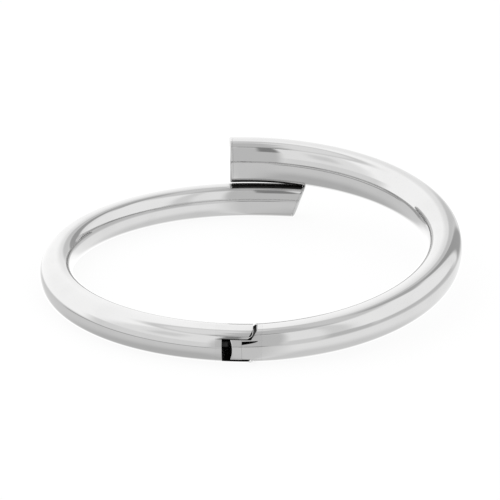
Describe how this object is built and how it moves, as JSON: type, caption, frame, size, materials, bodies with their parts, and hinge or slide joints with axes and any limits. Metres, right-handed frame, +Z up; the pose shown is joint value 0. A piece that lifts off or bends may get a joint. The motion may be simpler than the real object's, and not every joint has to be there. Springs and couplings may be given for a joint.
{
  "type": "bangle bracelet",
  "caption": "Polished steel bypass bangle: two hollow oval arms joined by a knuckle hinge, their ends passing one above the other at the back.",
  "frame": {"origin": "under the middle of the bangle's box, on the surface it lies on", "axes": "+Z up along the wrist axis, -Y towards the hinge, +Y towards the overlapping ends, +X towards the arm whose end is on top"},
  "size_m": [0.0706, 0.0632, 0.0146],
  "materials": {
    "polished_steel": "mirror-polished stainless steel with faint polishing lines",
    "hinge_steel": "polished stainless steel, a little duller on the machined hinge faces",
    "pin_steel": "fine turned steel",
    "spring_steel": "drawn spring wire"
  },
  "bodies": {
    "left_half": {"left_outer_shell": "polished_steel", "left_inner_shell": "polished_steel", "left_end_cap": "polished_steel", "hinge_clevis": "hinge_steel", "hinge_pin": "pin_steel", "hinge_spring": "spring_steel"},
    "right_half": {"right_outer_shell": "polished_steel", "right_inner_shell": "polished_steel", "right_end_cap": "polished_steel", "hinge_knuckle": "hinge_steel"},
    "plunger": {"hinge_plunger": "pin_steel"}
  },
  "joints": [
    {"name": "arm_hinge", "type": "hinge", "parent": "left_half", "child": "right_half", "pos_m": [-0.00039, -0.02877, 0.00288], "axis": [0, 0, -1], "range_deg": [0, 40], "stiffness_Nm_per_rad": 0.0019, "springref_deg": -40.68},
    {"name": "plunger_slide", "type": "slide", "parent": "left_half", "child": "plunger", "axis": [-1, 0, 0], "range_m": [0, 0.00079], "deforming": ["hinge_spring"]}
  ],
  "couplings": [
    {"joint": "plunger_slide", "follows": "arm_hinge", "m_per_rad": 0.00112}
  ]
}
